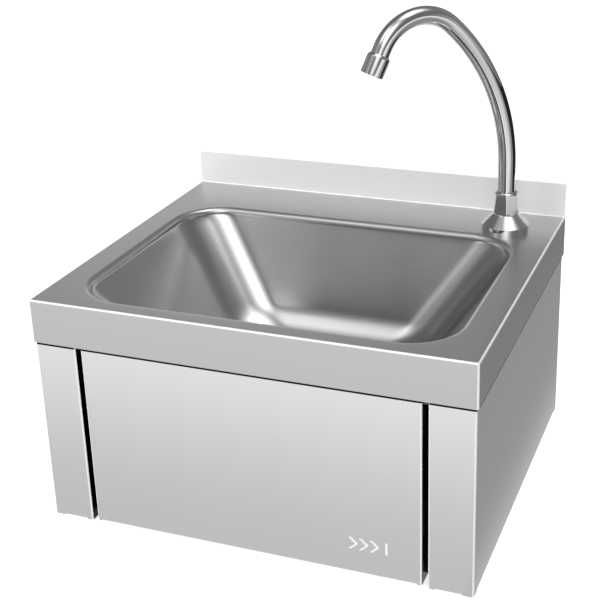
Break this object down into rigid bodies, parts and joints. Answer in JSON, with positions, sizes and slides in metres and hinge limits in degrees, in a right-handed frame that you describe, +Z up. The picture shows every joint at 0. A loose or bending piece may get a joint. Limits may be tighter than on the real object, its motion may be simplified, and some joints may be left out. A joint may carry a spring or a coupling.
{
  "type": "knee-operated hand wash sink",
  "caption": "Wall-hung stainless hand wash sink with a swan-neck spout and a hinged front panel that is pushed with the knee to open a timed-flow valve.",
  "frame": {"origin": "middle of the wall bracket's fixing slots, on the wall plane", "axes": "+X to the user's right facing the wall, +Y into the wall, +Z up"},
  "size_m": [0.4, 0.34, 0.4403],
  "materials": {
    "brushed_stainless": "satin brushed stainless sheet",
    "mill_stainless": "unpolished stainless sheet",
    "chrome": "bright chrome plate",
    "polished_steel": "bright stainless",
    "brass": "machined brass",
    "nickel_brass": "nickel-plated brass",
    "black_rubber": "black rubber",
    "white_acetal": "white acetal",
    "white_plastic": "moulded plastic"
  },
  "bodies": {
    "casing": {"bonnet_seal": "black_rubber", "bowl": "brushed_stainless", "check_valves": "white_acetal", "cold_inlet_union": "nickel_brass", "deck": "brushed_stainless", "hose_ferrules": "polished_steel", "hose_nuts": "nickel_brass", "hot_inlet_union": "nickel_brass", "left_side_panel": "brushed_stainless", "outlet_hose": "polished_steel", "panel_hinge_clips": "polished_steel", "panel_hinge_pins": "polished_steel", "rear_rail": "mill_stainless", "right_side_panel": "brushed_stainless", "spout_set_screw": "polished_steel", "tap_back_nut": "brass", "tap_base": "chrome", "tap_gasket": "black_rubber", "tap_washer": "polished_steel", "valve_body": "brass", "valve_bonnet": "nickel_brass", "valve_lock_nut": "brass", "valve_rail": "mill_stainless", "valve_spring": "polished_steel", "wall_bracket": "mill_stainless", "waste_body": "white_plastic", "waste_gasket": "black_rubber", "waste_screw": "polished_steel", "waste_strainer": "polished_steel"},
    "panel": {"knee_panel": "brushed_stainless", "panel_stiffener": "mill_stainless", "striker_pad": "white_acetal", "panel_buffers": "black_rubber", "panel_hinge_bushes": "white_acetal"},
    "button": {"push_button": "nickel_brass", "valve_piston": "brass"},
    "spout": {"spout_tube": "chrome", "spout_tail": "brass", "spout_o_rings": "black_rubber", "aerator_housing": "chrome", "aerator_washer": "black_rubber", "aerator_insert": "white_acetal"}
  },
  "joints": [
    {"name": "knee_panel_hinge", "type": "hinge", "parent": "casing", "child": "panel", "pos_m": [0, -0.3285, 0.024], "axis": [1, 0, 0], "range_deg": [0, 4.2], "stiffness_Nm_per_rad": 22, "springref_deg": -2.86},
    {"name": "button_slide", "type": "slide", "parent": "casing", "child": "button", "axis": [0, 1, 0], "range_m": [0, 0.01], "deforming": ["valve_spring"]},
    {"name": "spout_swivel", "type": "hinge", "parent": "casing", "child": "spout", "pos_m": [0.1505, -0.0488, 0.05], "axis": [0, 0, 1], "range_deg": [-60, 145]}
  ],
  "couplings": [
    {"joint": "button_slide", "follows": "knee_panel_hinge", "m_per_rad": 0.1358}
  ]
}
